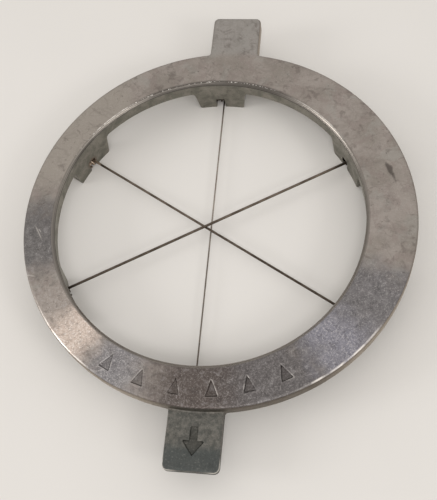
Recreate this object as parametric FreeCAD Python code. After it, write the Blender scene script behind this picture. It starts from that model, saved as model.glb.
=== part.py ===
import FreeCAD, Part
import math
import os
from collections import namedtuple

# Wedge-cutter ring of an egg slicer: one cast ring with two tabs, and three tight wires across its hole.
# Millimetres. The pieces are drawn about the rim's axis, with the lugs' feet at zero and the front tab along
# -Y, and then moved so that the origin is under the middle of the whole. +Z is up.

Vector = FreeCAD.Vector
UP = Vector(0, 0, 1)
FULL_TURN = 360

# Ring plate. The hole's middle lies left of the rim's axis, so the band is narrow there. The hole and the
# lugs' inner faces widen downwards by the draft, which is added to the radius from the top to the feet.
HOLE_RADIUS = 40.3
HOLE_DRAFT = 0.6
BAND_WIDTH = 10.5
HOLE_SHIFT = 2.3
PLATE_THICKNESS = 4.2
HOLE_CHAMFER = 0.65
TOP_EDGE_ROUND = 0.6
UNDER_EDGE_ROUND = 0.4

# Tabs. The back one is as thick as the plate, and the front one is thin and level with the underside.
TAB_WIDTH = 13.4
BACK_TAB_REACH = 12.5
FRONT_TAB_REACH = 14.0
FRONT_TAB_THICKNESS = 2.0
TAB_CORNER_RADIUS = 1.4
TAB_ROOT_RADIUS = 0.8

# Lugs that hang from the hole's edge and hold the wire ends. Their feet are what the ring stands on. Seen from
# the hole's middle, each lies a little to the left of its wire's bearing.
LUG_HEIGHT = 7.5
LUG_SHIFT = 0.9
LUG_ROOT_WIDTH = 14.2
LUG_TIP_WIDTH = 12.4
LUG_THICKNESS = 4.0
LUG_ROOT_FILLET = 1.2
LUG_TIP_ROUND = 0.5

# Each lug has a slot, open below, with a cross pin that the wire is wound on.
SLOT_WIDTH = 2.5
SLOT_SIDE_GAP = 0.1
SLOT_TOP_GAP = 0.2
FOOT_GAP = 0.25
PIN_DIAMETER = 1.2
PIN_WALL = 0.4
PIN_INSET = 0.5
PIN_CLEARANCE = 0.02

# Wires: the bearing of the far end, counter-clockwise from +X, the distance that the wire passes to the
# left of the hole's middle, and the diameter. They cross at three heights without touching.
UPPER_WIRE_BEARING = 29.7
UPPER_WIRE_ASIDE = 1.3
UPPER_WIRE_DIAMETER = 0.7
MIDDLE_WIRE_BEARING = 150.0
MIDDLE_WIRE_ASIDE = 0.3
MIDDLE_WIRE_DIAMETER = 0.65
LOWER_WIRE_BEARING = 90.4
LOWER_WIRE_ASIDE = 0.25
LOWER_WIRE_DIAMETER = 0.4
WIRE_GAP = 0.12
WINDING_TURNS = 1.75
WINDING_GAP = 0.03

# Stamped marks: six wedges on the front of the band and an arrow on the front tab.
MARK_DEPTH = 0.3
WEDGE_MARKS = 6
WEDGE_MARK_STEP = 11.0
WEDGE_MARK_HEIGHT = 3.8
WEDGE_MARK_WIDTH = 2.8
ARROW_LENGTH = 6.6
ARROW_HEAD_LENGTH = 3.4
ARROW_HEAD_WIDTH = 5.2
ARROW_SHAFT_WIDTH = 1.7

# Sizes that follow from those above
RIM_RADIUS = HOLE_RADIUS + BAND_WIDTH
TOP_LEVEL = LUG_HEIGHT + PLATE_THICKNESS
FRONT_TAB_LEVEL = LUG_HEIGHT + FRONT_TAB_THICKNESS
HOLE_MIDDLE = Vector(-HOLE_SHIFT, 0, 0)
FOOT_RADIUS = HOLE_RADIUS + HOLE_DRAFT
PIN_DISTANCE = FOOT_RADIUS + PIN_WALL + PIN_DIAMETER / 2

TO_ORIGIN = Vector(0, (FRONT_TAB_REACH - BACK_TAB_REACH) / 2, 0)

Wire = namedtuple("Wire", "name bearing aside diameter level over")
Anchor = namedtuple("Anchor", "name bearing wire_side slot_side pin_level wire")


def winding_radius(diameter):
    """Distance from a pin's axis to the axis of a wire wound on it."""
    return PIN_DIAMETER / 2 + WINDING_GAP + diameter / 2


def crossing_step(first, second):
    """Height between the axes of two wires that cross."""
    return (first + second) / 2 + WIRE_GAP


MIDDLE_LEVEL = FOOT_GAP + 2 * winding_radius(MIDDLE_WIRE_DIAMETER) + MIDDLE_WIRE_DIAMETER / 2
UPPER_LEVEL = MIDDLE_LEVEL + crossing_step(MIDDLE_WIRE_DIAMETER, UPPER_WIRE_DIAMETER)
LOWER_LEVEL = MIDDLE_LEVEL - crossing_step(MIDDLE_WIRE_DIAMETER, LOWER_WIRE_DIAMETER)

# The upper and middle wires leave over their pins, and the lower one leaves under them.
UPPER_WIRE = Wire(
    "upper_wire", UPPER_WIRE_BEARING, UPPER_WIRE_ASIDE, UPPER_WIRE_DIAMETER, UPPER_LEVEL, over=True
)
MIDDLE_WIRE = Wire(
    "middle_wire", MIDDLE_WIRE_BEARING, MIDDLE_WIRE_ASIDE, MIDDLE_WIRE_DIAMETER, MIDDLE_LEVEL, over=True
)
LOWER_WIRE = Wire(
    "lower_wire", LOWER_WIRE_BEARING, LOWER_WIRE_ASIDE, LOWER_WIRE_DIAMETER, LOWER_LEVEL, over=False
)


def anchor(name, wire, far):
    """The place where one end of a wire is held, in a frame turned to look outwards along the wire."""
    bearing = wire.bearing if far else wire.bearing + FULL_TURN / 2
    wire_side = wire.aside if far else -wire.aside
    slot_side = wire_side + SLOT_WIDTH / 2 - SLOT_SIDE_GAP - wire.diameter / 2
    lift = winding_radius(wire.diameter)
    pin_level = wire.level - lift if wire.over else wire.level + lift
    return Anchor(name, bearing, wire_side, slot_side, pin_level, wire)


ANCHORS = (
    anchor("right_back_pin", UPPER_WIRE, True),
    anchor("left_front_pin", UPPER_WIRE, False),
    anchor("left_back_pin", MIDDLE_WIRE, True),
    anchor("right_front_pin", MIDDLE_WIRE, False),
    anchor("back_pin", LOWER_WIRE, True),
    anchor("front_pin", LOWER_WIRE, False),
)
SLOT_HEIGHT = SLOT_TOP_GAP + max(
    held.pin_level + winding_radius(held.wire.diameter) + held.wire.diameter / 2 for held in ANCHORS
)


def turned(shape, bearing):
    """The shape moved from a frame at the hole's middle that looks along +X to one along the bearing."""
    frame = FreeCAD.Placement(HOLE_MIDDLE, FreeCAD.Rotation(UP, bearing))
    moved = shape.copy()
    moved.Placement = frame.multiply(shape.Placement)
    return moved


def prism(points, direction):
    """A closed polygon pushed along a direction."""
    return Part.Face(Part.makePolygon([*points, points[0]])).extrude(direction)


def edges_where(shape, test):
    """The edges whose every vertex passes the test."""
    return [edge for edge in shape.Edges if all(test(vertex.Point) for vertex in edge.Vertexes)]


def is_level(point, level):
    return abs(point.z - level) < TOP_EDGE_ROUND / 10


def tab(side, reach, bottom, top):
    """A flat tab with two rounded corners, from inside the band to its reach past the rim.

    The side is 1 at the back and -1 at the front.
    """
    inner = HOLE_RADIUS + BAND_WIDTH / 2
    outer = RIM_RADIUS + reach
    half = TAB_WIDTH / 2
    corners = ((-half, inner), (half, inner), (half, outer), (-half, outer))
    block = prism([Vector(x, side * y, bottom) for x, y in corners], Vector(0, 0, top - bottom))
    corner_edges = [
        edge for edge in block.Edges
        if abs(edge.CenterOfMass.y - side * outer) < TAB_CORNER_RADIUS / 10
        and edge.BoundBox.ZLength > (top - bottom) / 2
    ]
    return block.makeFillet(TAB_CORNER_RADIUS, corner_edges)


def is_tab_root(edge, side):
    """True for the upright edges where a tab's sides run into the rim."""
    middle = edge.CenterOfMass
    upright = edge.BoundBox.ZLength > edge.BoundBox.DiagonalLength / 2
    near = abs(abs(middle.x) - TAB_WIDTH / 2) < TAB_ROOT_RADIUS / 10
    on_rim = abs(math.hypot(middle.x, middle.y) - RIM_RADIUS) < TAB_ROOT_RADIUS / 10
    return upright and near and on_rim and side * middle.y > 0


def plate():
    """The flat ring with its tabs and rounded outer edges, before the hole is cut."""
    disc = Part.makeCylinder(RIM_RADIUS, PLATE_THICKNESS, Vector(0, 0, LUG_HEIGHT))
    back = tab(1, BACK_TAB_REACH, LUG_HEIGHT, TOP_LEVEL)
    front = tab(-1, FRONT_TAB_REACH, LUG_HEIGHT, FRONT_TAB_LEVEL)
    body = disc.fuse([back, front]).removeSplitter()
    roots = [edge for edge in body.Edges if is_tab_root(edge, 1) or is_tab_root(edge, -1)]
    body = body.makeFillet(TAB_ROOT_RADIUS, roots)
    body = body.makeFillet(TOP_EDGE_ROUND, edges_where(body, lambda point: is_level(point, TOP_LEVEL)))
    return body.makeFillet(UNDER_EDGE_ROUND, edges_where(body, lambda point: is_level(point, LUG_HEIGHT)))


def bore():
    """The hole's drafted inside, from the feet up to the top, about the hole's middle."""
    return Part.makeCone(FOOT_RADIUS, HOLE_RADIUS, TOP_LEVEL)


def hole():
    """What the hole takes away: the bore and the chamfer at its upper edge."""
    edge = HOLE_RADIUS + HOLE_CHAMFER
    chamfer = Part.makeCone(HOLE_RADIUS, edge, HOLE_CHAMFER, UP * (TOP_LEVEL - HOLE_CHAMFER))
    return bore().fuse(chamfer).translated(HOLE_MIDDLE)


def lug(held):
    """A tapered lug with fillets where it meets the plate, bounded by the hole and a wall outside it."""
    root, tip = LUG_ROOT_WIDTH / 2, LUG_TIP_WIDTH / 2
    flange = root + 2 * LUG_ROOT_FILLET
    into_plate = LUG_HEIGHT + PLATE_THICKNESS / 2
    half = ((tip, 0), (root, LUG_HEIGHT), (flange, LUG_HEIGHT), (flange, into_plate))
    outline = [*half, *((-y, z) for y, z in reversed(half))]
    reach = HOLE_RADIUS + 2 * LUG_THICKNESS
    block = prism([Vector(0, LUG_SHIFT + y, z) for y, z in outline], Vector(reach, 0, 0))

    def long_edges(level, width):
        return [
            edge for edge in block.Edges
            if edge.BoundBox.XLength > reach / 2
            and abs(edge.CenterOfMass.z - level) < LUG_TIP_ROUND / 10
            and abs(abs(edge.CenterOfMass.y - LUG_SHIFT) - width) < LUG_TIP_ROUND / 10
        ]

    block = block.makeFillet(LUG_ROOT_FILLET, long_edges(LUG_HEIGHT, root))
    block = block.makeFillet(LUG_TIP_ROUND, long_edges(0, tip))
    wall = Part.makeCylinder(HOLE_RADIUS + LUG_THICKNESS, TOP_LEVEL)
    return turned(block.common(wall.cut(bore())), held.bearing)


def slot_and_pin_hole(held):
    """What a lug loses to its slot and to the hole for its pin."""
    reach = HOLE_RADIUS + 2 * LUG_THICKNESS
    corner = Vector(0, held.slot_side - SLOT_WIDTH / 2, -SLOT_HEIGHT)
    slot = Part.makeBox(reach, SLOT_WIDTH, 2 * SLOT_HEIGHT, corner)
    start = Vector(PIN_DISTANCE, LUG_SHIFT - LUG_ROOT_WIDTH, held.pin_level)
    pin_hole = Part.makeCylinder(PIN_DIAMETER / 2 + PIN_CLEARANCE, 2 * LUG_ROOT_WIDTH, start, Vector(0, 1, 0))
    return turned(slot.fuse(pin_hole), held.bearing)


def wedge_mark(bearing):
    """A stamped triangle on the middle of the band, with its tip towards the hole."""
    band_middle = RIM_RADIUS - (BAND_WIDTH - HOLE_CHAMFER) / 2
    inner, outer = band_middle - WEDGE_MARK_HEIGHT / 2, band_middle + WEDGE_MARK_HEIGHT / 2
    half = WEDGE_MARK_WIDTH / 2
    corners = ((inner, 0), (outer, -half), (outer, half))
    mark = prism([Vector(x, y, TOP_LEVEL - MARK_DEPTH) for x, y in corners], UP * (2 * MARK_DEPTH))
    mark.rotate(Vector(0, 0, 0), UP, bearing)
    mark.translate(HOLE_MIDDLE / 2)
    return mark


def arrow_mark():
    """A stamped arrow on the front tab that points forwards."""
    middle = RIM_RADIUS + FRONT_TAB_REACH / 2
    tail, point = middle - ARROW_LENGTH / 2, middle + ARROW_LENGTH / 2
    neck = point - ARROW_HEAD_LENGTH
    half_shaft, half_head = ARROW_SHAFT_WIDTH / 2, ARROW_HEAD_WIDTH / 2
    right = ((half_shaft, tail), (half_shaft, neck), (half_head, neck), (0, point))
    left = ((-half_head, neck), (-half_shaft, neck), (-half_shaft, tail))
    level = FRONT_TAB_LEVEL - MARK_DEPTH
    return prism([Vector(x, -y, level) for x, y in (*right, *left)], UP * (2 * MARK_DEPTH))


def ring_frame():
    """The whole casting."""
    front_bearing = FULL_TURN * 3 / 4
    first_mark = front_bearing - WEDGE_MARK_STEP * (WEDGE_MARKS - 1) / 2
    marks = [wedge_mark(first_mark + WEDGE_MARK_STEP * index) for index in range(WEDGE_MARKS)]
    body = plate().cut(hole()).fuse([lug(held) for held in ANCHORS]).removeSplitter()
    return body.cut([slot_and_pin_hole(held) for held in ANCHORS] + marks + [arrow_mark()])


def pin(held):
    """A plain cross pin, a little shorter than its lug is wide."""
    lug_half = LUG_TIP_WIDTH / 2 + (LUG_ROOT_WIDTH - LUG_TIP_WIDTH) / 2 * held.pin_level / LUG_HEIGHT
    length = 2 * (lug_half - PIN_INSET)
    start = Vector(PIN_DISTANCE, LUG_SHIFT - length / 2, held.pin_level)
    return turned(Part.makeCylinder(PIN_DIAMETER / 2, length, start, Vector(0, 1, 0)), held.bearing)


def winding(held):
    """The turns of a wire on its pin, from where it meets the pin to its cut end."""
    radius = held.wire.diameter / 2
    turn = winding_radius(held.wire.diameter)
    advance = SLOT_WIDTH - 2 * SLOT_SIDE_GAP - held.wire.diameter
    pitch = advance / WINDING_TURNS
    hand = 1 if held.wire.over else -1
    path = Part.makeHelix(pitch, advance, turn, 0, not held.wire.over)
    section = Part.Wire(Part.Edge(Part.Circle(Vector(turn, 0, 0), Vector(0, hand, 0), radius)))
    coil = Part.Wire(path.Edges).makePipeShell([section], True, True)
    axes = FreeCAD.Rotation(Vector(0, 0, hand), Vector(hand, 0, 0), Vector(0, 1, 0))
    coil.Placement = FreeCAD.Placement(Vector(PIN_DISTANCE, held.wire_side, held.pin_level), axes)
    return turned(coil, held.bearing)


def cutting_wire(wire):
    """A straight run over the hole with a winding at each end."""
    start = Vector(-PIN_DISTANCE, wire.aside, wire.level)
    run = Part.makeCylinder(wire.diameter / 2, 2 * PIN_DISTANCE, start, Vector(1, 0, 0))
    ends = [winding(held) for held in ANCHORS if held.wire is wire]
    return turned(run, wire.bearing).fuse(ends)


def export(shape, node):
    moved = shape.translated(TO_ORIGIN)
    moved.exportStep(f"parts/{node}.step")


os.makedirs("parts", exist_ok=True)
export(ring_frame(), "ring_frame")
for wire in (UPPER_WIRE, MIDDLE_WIRE, LOWER_WIRE):
    export(cutting_wire(wire), wire.name)
for held in ANCHORS:
    export(pin(held), held.name)
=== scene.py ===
import math
from collections import namedtuple

import bmesh
import bpy
import numpy as np
from mathutils import Matrix, Vector


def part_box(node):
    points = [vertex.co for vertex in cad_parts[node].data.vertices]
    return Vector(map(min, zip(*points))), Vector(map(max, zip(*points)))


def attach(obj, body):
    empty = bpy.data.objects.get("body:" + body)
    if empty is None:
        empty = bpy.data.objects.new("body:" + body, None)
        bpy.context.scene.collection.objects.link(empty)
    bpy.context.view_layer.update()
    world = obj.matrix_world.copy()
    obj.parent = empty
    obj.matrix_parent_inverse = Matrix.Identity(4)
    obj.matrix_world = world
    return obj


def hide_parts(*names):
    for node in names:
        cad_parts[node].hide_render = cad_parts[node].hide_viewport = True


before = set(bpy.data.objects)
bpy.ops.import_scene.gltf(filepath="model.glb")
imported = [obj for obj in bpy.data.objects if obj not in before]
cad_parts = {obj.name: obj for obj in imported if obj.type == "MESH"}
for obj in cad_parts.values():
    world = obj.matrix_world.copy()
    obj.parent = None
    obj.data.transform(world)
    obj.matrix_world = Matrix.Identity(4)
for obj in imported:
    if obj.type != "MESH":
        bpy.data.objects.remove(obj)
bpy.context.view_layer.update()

# A worn ring insert of an egg slicer: a casting, ground on top, with three cutting wires wound on cross pins.
# Shapes are worked out in millimetres in the frame of the solids, and stored in metres. Bearings are degrees
# about the hole's middle, counter-clockwise from +X.
MM = 0.001
FRONT = 270
ring_low, ring_high = (np.array(corner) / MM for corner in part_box("ring_frame"))

# Ring plate
TOP = ring_high[2]
RIM_RADIUS = (ring_high[0] - ring_low[0]) / 2
BACK_TAB_REACH = 12.5
FRONT_TAB_REACH = ring_high[1] - ring_low[1] - 2 * RIM_RADIUS - BACK_TAB_REACH
RIM_AXIS = np.array((0.0, ring_high[1] - BACK_TAB_REACH - RIM_RADIUS))
RIM_BACK = RIM_AXIS[1] + RIM_RADIUS
RIM_FRONT = RIM_AXIS[1] - RIM_RADIUS
HOLE_RADIUS = 40.3
HOLE_DRAFT = 0.6
HOLE_SHIFT = 2.3
HOLE = RIM_AXIS - (HOLE_SHIFT, 0)
HOLE_CHAMFER = 0.65
BAND_WIDTH = RIM_RADIUS - HOLE_RADIUS
UNDERSIDE = 7.5
LEDGE = 9.5
TOP_EDGE_ROUND = 0.6
UNDER_EDGE_ROUND = 0.4
LEDGE_EDGE_ROUND = 0.45
LEDGE_ROOT_ROUND = 0.4
# Distance outwards from the bore and up from the top face of the points along the worn chamfer
CHAMFER = ((0.0, -0.74), (0.02, -0.64), (0.09, -0.55), (0.57, -0.08), (0.66, -0.015), (0.78, 0.0))

# Unevenness of the ground top and of the front tab's cast ledge: how high its waves are, and how long
TOP_WAVE = 0.02
TOP_WAVE_SIZE = 5.0
LEDGE_WAVE = 0.04
LEDGE_WAVE_SIZE = 1.8
LEDGE_SINK = 0.03
# Share of the ledge over which its unevenness fades at both ends, and the least width that has any
LEDGE_FADE = 0.125
LEDGE_LEAST_WIDTH = 1.0

# Tabs
TAB_WIDTH = 13.4
TAB_CORNER_RADIUS = 1.4
TAB_ROOT_RADIUS = 0.8

# Lugs and slots
LUG_SHIFT = 0.9
LUG_ROOT_WIDTH = 14.2
LUG_TIP_WIDTH = 12.4
LUG_THICKNESS = 4.0
LUG_ROOT_FILLET = 1.2
LUG_TIP_ROUND = 0.7
SLOT_WIDTH = 2.5
SLOT_HEIGHT = 3.9
SLOT_DRAFT = 0.06
SLOT_EDGE_ROUND = 0.25
# How far a lug reaches up into the plate, and its skin into the plate's, so that the two meet cleanly
LUG_INTO_PLATE = 1.6
SEAM_SINK = 0.01

# Pins and windings
PIN_RADIUS = 0.6
PIN_HOLE_RADIUS = 0.63
PIN_DISTANCE = 41.9
PIN_INSET = 0.5
PIN_BLUNT = 0.18
PIN_CORNER = 0.3 * PIN_BLUNT
PIN_END_MIDDLE = 0.05
PIN_WAVE = 0.012
PIN_WAVES_PER_MM = 5.3
WINDING_GAP = 0.03
WINDING_TURNS = 1.75
SLOT_SIDE_GAP = 0.1
WIRE_END_TAPER = 0.8

# Mesh: distances between points, the stretch of rim in degrees to either side of the front that is fine, and
# how many rows and sides the skins have
FINE = 0.16
MEDIUM = 0.3
COARSE = 0.5
FINE_FRONT = 38
ROUND_TURNS = np.linspace(0, math.pi / 2, 6)
TOP_ROWS = 37
LEDGE_ROWS = 56
UNDER_ROWS = 15
BORE_ROWS = 6
LUG_ROWS = 9
LUG_FOOT_ROWS = 6
PIN_ROWS = 25
PIN_SIDES = 28
PIN_HOLE_SIDES = 32
WINDING_ROWS = 64
WIRE_ROWS = 90
WIRE_SIDES = 16
MERGE_DISTANCE = 0.002
SHORTEST_EDGE = 0.0005
# Angles, in degrees, above which an edge stays sharp
CASTING_CREASE = 32
WIRE_CREASE = 50
PIN_CREASE = 40

# Wires: the bearing of their far end, how far left of the hole's middle and how high they run, whether they
# run over their pins, and the pins at their far and near ends. Anchors hold their ends.
Wire = namedtuple("Wire", "name bearing aside diameter level over pins")
Anchor = namedtuple("Anchor", "pin bearing wire_side slot_side pin_level wire")
WIRES = (
    Wire("upper_wire", 29.7, 1.3, 0.7, 3.28, True, ("right_back_pin", "left_front_pin")),
    Wire("middle_wire", 150.0, 0.3, 0.65, 2.485, True, ("left_back_pin", "right_front_pin")),
    Wire("lower_wire", 90.4, 0.25, 0.4, 1.84, False, ("back_pin", "front_pin")),
)

# Wear on the top face, as places on it
GOUGE = (
    (42.2, 18.05), (42.7, 16.95), (43.5, 15.95), (43.7, 14.85), (44.5, 13.75), (45.0, 12.05), (45.4, 11.25)
)
GOUGE_HALF_WIDTHS = (0.3, 0.75, 1.05, 0.85, 0.6, 0.4, 0.25)
GOUGE_DEPTH = 0.22
GOUGE_STEEPNESS = 0.8
NICK = ((-47.6, -18.55), (-44.4, -18.85))
NICK_HALF_WIDTH = 0.22
NICK_DEPTH = 0.05
SCRATCHES = (
    ((-47.6, -4.15), (-44.7, -8.75)),
    ((-46.4, -5.35), (-45.3, -6.55)),
)
SCRATCH_HALF_WIDTH = 0.12
SCRATCH_DEPTH = 0.05

# Stamped marks: wedges round the front of the band and an arrow on the front tab
MARK_DEPTH = 0.3
MARK_SLOPE = 0.22
MARK_BURR = 0.05
WEDGE_MARKS = 6
WEDGE_MARK_STEP = 11.0
WEDGE_MARK_HEIGHT = 3.8
WEDGE_MARK_WIDTH = 2.8
ARROW_LENGTH = 6.6
ARROW_HEAD_LENGTH = 3.4
ARROW_HEAD_WIDTH = 5.2
ARROW_SHAFT_WIDTH = 1.7


def bore_radius(height):
    """The hole's radius, which grows downwards by the draft."""
    return HOLE_RADIUS + HOLE_DRAFT * (TOP - height) / TOP


def lug_half_width(height):
    """Half the width of a lug, which tapers from its root at the plate to its tip on the ground."""
    return LUG_TIP_WIDTH / 2 + (LUG_ROOT_WIDTH - LUG_TIP_WIDTH) / 2 * height / UNDERSIDE


def winding_radius(wire):
    """Distance of a wound wire's middle line from its pin's."""
    return PIN_RADIUS + WINDING_GAP + wire.diameter / 2


def anchors():
    """Where both ends of each wire are held, in frames that look outwards along the wire."""
    found = []
    for wire in WIRES:
        for far, pin in zip((True, False), wire.pins):
            side = wire.aside if far else -wire.aside
            bearing = wire.bearing if far else wire.bearing + 180
            slot_side = side + SLOT_WIDTH / 2 - SLOT_SIDE_GAP - wire.diameter / 2
            lift = winding_radius(wire) * (-1 if wire.over else 1)
            found.append(Anchor(pin, bearing, side, slot_side, wire.level + lift, wire))
    return found


ANCHORS = anchors()


def make_object(name, points, faces):
    """A mesh object from points in millimetres."""
    mesh = bpy.data.meshes.new(name)
    mesh.from_pydata((np.asarray(points) * MM).tolist(), [], faces)
    made = bpy.data.objects.new(name, mesh)
    bpy.context.scene.collection.objects.link(made)
    return made


def outward(bearing, points):
    """Points given as outwards, to the left and up, in a frame at the hole's middle along a bearing."""
    turn = math.radians(bearing)
    out, left, up = np.asarray(points, float).T
    x = HOLE[0] + out * math.cos(turn) - left * math.sin(turn)
    y = HOLE[1] + out * math.sin(turn) + left * math.cos(turn)
    return np.column_stack((x, y, up))


def arc(centre, radius, start, end, step):
    """Points along an arc, with both of its ends."""
    count = max(3, math.ceil(abs(end - start) * radius / step))
    angles = np.linspace(start, end, count + 1)
    return np.column_stack((centre[0] + radius * np.cos(angles), centre[1] + radius * np.sin(angles)))


def rim_arc(start, end, step):
    """Points along the rim, about its axis."""
    return arc((0, 0), RIM_RADIUS, start, end, step)


def line(start, end, step):
    """Points along a straight line, with both of its ends."""
    count = max(1, math.ceil(math.dist(start, end) / step))
    return np.linspace(start, end, count + 1)


def joined(*runs):
    """Runs of points that follow each other, without the points that they share."""
    return np.vstack([run[:-1] for run in runs[:-1]] + [runs[-1]])


def tab(reach, end_step):
    """A tab along +Y, counter-clockwise, and the angle at which its root leaves the rim."""
    half = TAB_WIDTH / 2
    far = RIM_RADIUS + reach
    root_x = half + TAB_ROOT_RADIUS
    root_y = math.sqrt((RIM_RADIUS + TAB_ROOT_RADIUS) ** 2 - root_x ** 2)
    leave = math.atan2(root_y, root_x)
    inner = half - TAB_CORNER_RADIUS
    right = joined(
        arc((root_x, root_y), TAB_ROOT_RADIUS, leave + math.pi, math.pi, MEDIUM),
        line((half, root_y), (half, far - TAB_CORNER_RADIUS), 2 * COARSE),
        arc((inner, far - TAB_CORNER_RADIUS), TAB_CORNER_RADIUS, 0, math.pi / 2, MEDIUM),
        line((inner, far), (0, far), end_step),
    )
    left = right[::-1] * (-1, 1)
    return leave, joined(right, left)


def plan_outline():
    """The plate's outline with both tabs, counter-clockwise, and which of its points are on the front tab."""
    leave, back = tab(BACK_TAB_REACH, MEDIUM)
    front = -tab(FRONT_TAB_REACH, FINE)[1]
    fine_reach = math.radians(FINE_FRONT)
    fine_start, fine_end = 1.5 * math.pi - fine_reach, 1.5 * math.pi + fine_reach
    before = joined(
        rim_arc(math.pi - leave, fine_start, COARSE),
        rim_arc(fine_start, math.pi + leave, FINE),
    )
    after = joined(
        rim_arc(2 * math.pi - leave, fine_end, FINE),
        rim_arc(fine_end, 2 * math.pi + leave, COARSE),
    )
    whole = joined(back, before, front, after)[:-1]
    first = len(back) - 1 + len(before) - 1
    on_front = np.zeros(len(whole), bool)
    on_front[first:first + len(front)] = True
    return whole + RIM_AXIS, on_front


def on_rim(points):
    """Where rays from the hole's middle through the points meet the rim."""
    ray = points - HOLE
    ray /= np.linalg.norm(ray, axis=1)[:, None]
    away = HOLE - RIM_AXIS
    along = ray @ away
    length = -along + np.sqrt(along ** 2 - away @ away + RIM_RADIUS ** 2)
    return HOLE + ray * length[:, None]


def outline_normals(points):
    """Outward directions along a counter-clockwise outline."""
    run = np.roll(points, -1, 0) - np.roll(points, 1, 0)
    run /= np.linalg.norm(run, axis=1)[:, None]
    return np.column_stack((run[:, 1], -run[:, 0]))


def smooth_step(value):
    """A value eased between 0 and 1."""
    value = np.clip(value, 0, 1)
    return value * value * (3 - 2 * value)


def line_distance(points, path):
    """Distance of points to a path, and how far along it, from 0 to 1, the nearest place is."""
    path = np.asarray(path, float)
    nearest = np.full(len(points), np.inf)
    along = np.zeros(len(points))
    for index, (a, b) in enumerate(zip(path[:-1], path[1:])):
        edge = b - a
        share = np.clip((points - a) @ edge / (edge @ edge), 0, 1)
        distance = np.linalg.norm(points - a - share[:, None] * edge, axis=1)
        closer = distance < nearest
        nearest = np.where(closer, distance, nearest)
        along = np.where(closer, (index + share) / (len(path) - 1), along)
    return nearest, along


def polygon_distance(points, corners):
    """Distance of points to a polygon's edge, below zero inside it."""
    x, y = points.T
    inside = np.zeros(len(points), bool)
    path = [*corners, corners[0]]
    for a, b in zip(path[:-1], path[1:]):
        if a[1] != b[1]:
            crosses = (a[1] > y) != (b[1] > y)
            inside ^= crosses & (x < a[0] + (y - a[1]) * (b[0] - a[0]) / (b[1] - a[1]))
    nearest = line_distance(points, path)[0]
    return np.where(inside, -nearest, nearest)


def stamped(points, corners):
    """Height left by a punch of that outline: a recess with a raised burr round it."""
    distance = polygon_distance(points, corners)
    recess = -MARK_DEPTH * smooth_step(0.5 - distance / MARK_SLOPE)
    burr = MARK_BURR * np.exp(-((distance - MARK_SLOPE) / MARK_SLOPE) ** 2)
    return recess + burr


def wedge_mark(bearing):
    """The corners of a stamped triangle on the middle of the band, with its tip towards the hole."""
    middle = RIM_RADIUS - (BAND_WIDTH - HOLE_CHAMFER) / 2
    near, far = middle - WEDGE_MARK_HEIGHT / 2, middle + WEDGE_MARK_HEIGHT / 2
    turn = math.radians(bearing)
    along = np.array((math.cos(turn), math.sin(turn)))
    aside = np.array((-along[1], along[0])) * WEDGE_MARK_WIDTH / 2
    centre = (HOLE + RIM_AXIS) / 2
    return [centre + near * along, centre + far * along - aside, centre + far * along + aside]


def arrow_mark():
    """The corners of the stamped arrow that points along the front tab."""
    middle = RIM_RADIUS + FRONT_TAB_REACH / 2
    tail, point = middle - ARROW_LENGTH / 2, middle + ARROW_LENGTH / 2
    neck = point - ARROW_HEAD_LENGTH
    shaft, head = ARROW_SHAFT_WIDTH / 2, ARROW_HEAD_WIDTH / 2
    right = [(shaft, tail), (shaft, neck), (head, neck), (0, point)]
    left = [(-x, y) for x, y in reversed(right[:-1])]
    return [RIM_AXIS + (x, -y) for x, y in right + left]


def waviness(points, size):
    """Slow unevenness, between about -1 and 1, from three waves that cross and bend."""
    x, y = points.T / size
    bent = np.sin(x + 1.7 * np.sin(0.6 * y))
    return (bent + np.sin(1.3 * y - 0.8 * x + 2.1) + np.sin(2.3 * x + 1.9 * y)) / 3


def top_relief(points):
    """Height of the worn top face above its plane."""
    height = TOP_WAVE * waviness(points, TOP_WAVE_SIZE) - TOP_WAVE
    first = FRONT - WEDGE_MARK_STEP * (WEDGE_MARKS - 1) / 2
    for index in range(WEDGE_MARKS):
        height += stamped(points, wedge_mark(first + WEDGE_MARK_STEP * index))
    distance, along = line_distance(points, GOUGE)
    half = np.interp(along, np.linspace(0, 1, len(GOUGE)), GOUGE_HALF_WIDTHS)
    depth = GOUGE_DEPTH * (half / max(GOUGE_HALF_WIDTHS))
    height -= depth * smooth_step(1 - GOUGE_STEEPNESS * distance / half)
    height -= NICK_DEPTH * smooth_step(1 - line_distance(points, NICK)[0] / NICK_HALF_WIDTH)
    for scratch in SCRATCHES:
        height -= SCRATCH_DEPTH * smooth_step(1 - line_distance(points, scratch)[0] / SCRATCH_HALF_WIDTH)
    return height


def ledge_relief(points):
    """Height of the front tab's as-cast upper face above its plane."""
    return stamped(points, arrow_mark()) + LEDGE_WAVE * waviness(points, LEDGE_WAVE_SIZE) - LEDGE_SINK


def at_height(points, height):
    """Points of the plan, put at a height."""
    return np.column_stack((points, np.broadcast_to(height, len(points))))


def top_loops(ray, upper, upper_out):
    """Loops out over the top face and round its outer edge."""
    inner = HOLE + (HOLE_RADIUS + CHAMFER[-1][0]) * ray
    outer = upper - TOP_EDGE_ROUND * upper_out
    for share in np.linspace(0, 1, TOP_ROWS):
        points = inner + share * (outer - inner)
        yield at_height(points, TOP + top_relief(points))
    for turn in ROUND_TURNS[1:]:
        points = upper - TOP_EDGE_ROUND * (1 - math.sin(turn)) * upper_out
        drop = TOP_EDGE_ROUND * (1 - math.cos(turn))
        yield at_height(points, TOP - drop - TOP_WAVE * math.cos(turn))


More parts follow.
